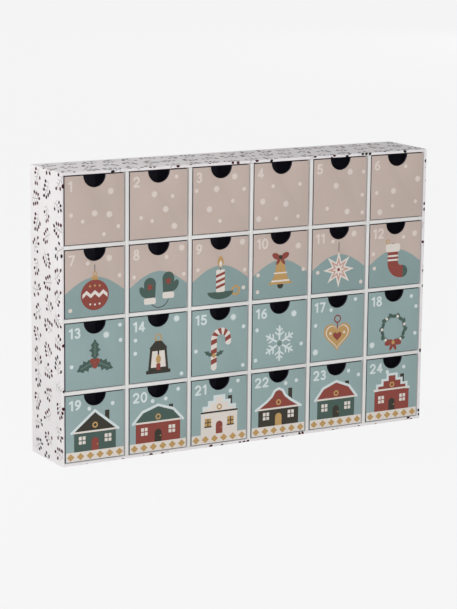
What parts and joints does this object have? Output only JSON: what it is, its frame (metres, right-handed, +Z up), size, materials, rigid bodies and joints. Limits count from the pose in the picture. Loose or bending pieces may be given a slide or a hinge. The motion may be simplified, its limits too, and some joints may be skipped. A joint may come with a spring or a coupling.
{
  "type": "advent calendar",
  "caption": "Shallow card chest with a half-lapped grid of numbered drawers that slide out by half-round finger notches.",
  "frame": {"origin": "middle of the case's footprint, on the surface that it stands on", "axes": "+Z up, +X to the right as seen from the front, the drawers open towards -Y"},
  "size_m": [0.3704, 0.06, 0.254],
  "materials": {
    "case_wrap": "matt printed paper on board",
    "back_paper": "matt paper on board",
    "grid_board": "matt white paper on board",
    "tray_card": "matt black-dyed card",
    "pink_face": "matt printed paper on card",
    "teal_face": "matt printed paper on card"
  },
  "bodies": {
    "case": {"case_sleeve": "case_wrap", "back_board": "back_paper", "upright_1": "grid_board", "upright_2": "grid_board", "upright_3": "grid_board", "upright_4": "grid_board", "upright_5": "grid_board", "shelf_1": "grid_board", "shelf_2": "grid_board", "shelf_3": "grid_board"},
    "drawer_01": {"drawer_01_tray": "tray_card", "drawer_01_face": "pink_face"},
    "drawer_02": {"drawer_02_tray": "tray_card", "drawer_02_face": "pink_face"},
    "drawer_03": {"drawer_03_tray": "tray_card", "drawer_03_face": "pink_face"},
    "drawer_04": {"drawer_04_tray": "tray_card", "drawer_04_face": "pink_face"},
    "drawer_05": {"drawer_05_tray": "tray_card", "drawer_05_face": "pink_face"},
    "drawer_06": {"drawer_06_tray": "tray_card", "drawer_06_face": "pink_face"},
    "drawer_07": {"drawer_07_tray": "tray_card", "drawer_07_face": "pink_face"},
    "drawer_08": {"drawer_08_tray": "tray_card", "drawer_08_face": "pink_face"},
    "drawer_09": {"drawer_09_tray": "tray_card", "drawer_09_face": "pink_face"},
    "drawer_10": {"drawer_10_tray": "tray_card", "drawer_10_face": "pink_face"},
    "drawer_11": {"drawer_11_tray": "tray_card", "drawer_11_face": "pink_face"},
    "drawer_12": {"drawer_12_tray": "tray_card", "drawer_12_face": "pink_face"},
    "drawer_13": {"drawer_13_tray": "tray_card", "drawer_13_face": "teal_face"},
    "drawer_14": {"drawer_14_tray": "tray_card", "drawer_14_face": "teal_face"},
    "drawer_15": {"drawer_15_tray": "tray_card", "drawer_15_face": "teal_face"},
    "drawer_16": {"drawer_16_tray": "tray_card", "drawer_16_face": "teal_face"},
    "drawer_17": {"drawer_17_tray": "tray_card", "drawer_17_face": "teal_face"},
    "drawer_18": {"drawer_18_tray": "tray_card", "drawer_18_face": "teal_face"},
    "drawer_19": {"drawer_19_tray": "tray_card", "drawer_19_face": "teal_face"},
    "drawer_20": {"drawer_20_tray": "tray_card", "drawer_20_face": "teal_face"},
    "drawer_21": {"drawer_21_tray": "tray_card", "drawer_21_face": "teal_face"},
    "drawer_22": {"drawer_22_tray": "tray_card", "drawer_22_face": "teal_face"},
    "drawer_23": {"drawer_23_tray": "tray_card", "drawer_23_face": "teal_face"},
    "drawer_24": {"drawer_24_tray": "tray_card", "drawer_24_face": "teal_face"}
  },
  "joints": [
    {"name": "drawer_01_slide", "type": "slide", "parent": "case", "child": "drawer_01", "axis": [0, -1, 0], "range_m": [0, 0.058]},
    {"name": "drawer_02_slide", "type": "slide", "parent": "case", "child": "drawer_02", "axis": [0, -1, 0], "range_m": [0, 0.058]},
    {"name": "drawer_03_slide", "type": "slide", "parent": "case", "child": "drawer_03", "axis": [0, -1, 0], "range_m": [0, 0.058]},
    {"name": "drawer_04_slide", "type": "slide", "parent": "case", "child": "drawer_04", "axis": [0, -1, 0], "range_m": [0, 0.058]},
    {"name": "drawer_05_slide", "type": "slide", "parent": "case", "child": "drawer_05", "axis": [0, -1, 0], "range_m": [0, 0.058]},
    {"name": "drawer_06_slide", "type": "slide", "parent": "case", "child": "drawer_06", "axis": [0, -1, 0], "range_m": [0, 0.058]},
    {"name": "drawer_07_slide", "type": "slide", "parent": "case", "child": "drawer_07", "axis": [0, -1, 0], "range_m": [0, 0.058]},
    {"name": "drawer_08_slide", "type": "slide", "parent": "case", "child": "drawer_08", "axis": [0, -1, 0], "range_m": [0, 0.058]},
    {"name": "drawer_09_slide", "type": "slide", "parent": "case", "child": "drawer_09", "axis": [0, -1, 0], "range_m": [0, 0.058]},
    {"name": "drawer_10_slide", "type": "slide", "parent": "case", "child": "drawer_10", "axis": [0, -1, 0], "range_m": [0, 0.058]},
    {"name": "drawer_11_slide", "type": "slide", "parent": "case", "child": "drawer_11", "axis": [0, -1, 0], "range_m": [0, 0.058]},
    {"name": "drawer_12_slide", "type": "slide", "parent": "case", "child": "drawer_12", "axis": [0, -1, 0], "range_m": [0, 0.058]},
    {"name": "drawer_13_slide", "type": "slide", "parent": "case", "child": "drawer_13", "axis": [0, -1, 0], "range_m": [0, 0.058]},
    {"name": "drawer_14_slide", "type": "slide", "parent": "case", "child": "drawer_14", "axis": [0, -1, 0], "range_m": [0, 0.058]},
    {"name": "drawer_15_slide", "type": "slide", "parent": "case", "child": "drawer_15", "axis": [0, -1, 0], "range_m": [0, 0.058]},
    {"name": "drawer_16_slide", "type": "slide", "parent": "case", "child": "drawer_16", "axis": [0, -1, 0], "range_m": [0, 0.058]},
    {"name": "drawer_17_slide", "type": "slide", "parent": "case", "child": "drawer_17", "axis": [0, -1, 0], "range_m": [0, 0.058]},
    {"name": "drawer_18_slide", "type": "slide", "parent": "case", "child": "drawer_18", "axis": [0, -1, 0], "range_m": [0, 0.058]},
    {"name": "drawer_19_slide", "type": "slide", "parent": "case", "child": "drawer_19", "axis": [0, -1, 0], "range_m": [0, 0.058]},
    {"name": "drawer_20_slide", "type": "slide", "parent": "case", "child": "drawer_20", "axis": [0, -1, 0], "range_m": [0, 0.058]},
    {"name": "drawer_21_slide", "type": "slide", "parent": "case", "child": "drawer_21", "axis": [0, -1, 0], "range_m": [0, 0.058]},
    {"name": "drawer_22_slide", "type": "slide", "parent": "case", "child": "drawer_22", "axis": [0, -1, 0], "range_m": [0, 0.058]},
    {"name": "drawer_23_slide", "type": "slide", "parent": "case", "child": "drawer_23", "axis": [0, -1, 0], "range_m": [0, 0.058]},
    {"name": "drawer_24_slide", "type": "slide", "parent": "case", "child": "drawer_24", "axis": [0, -1, 0], "range_m": [0, 0.058]}
  ]
}
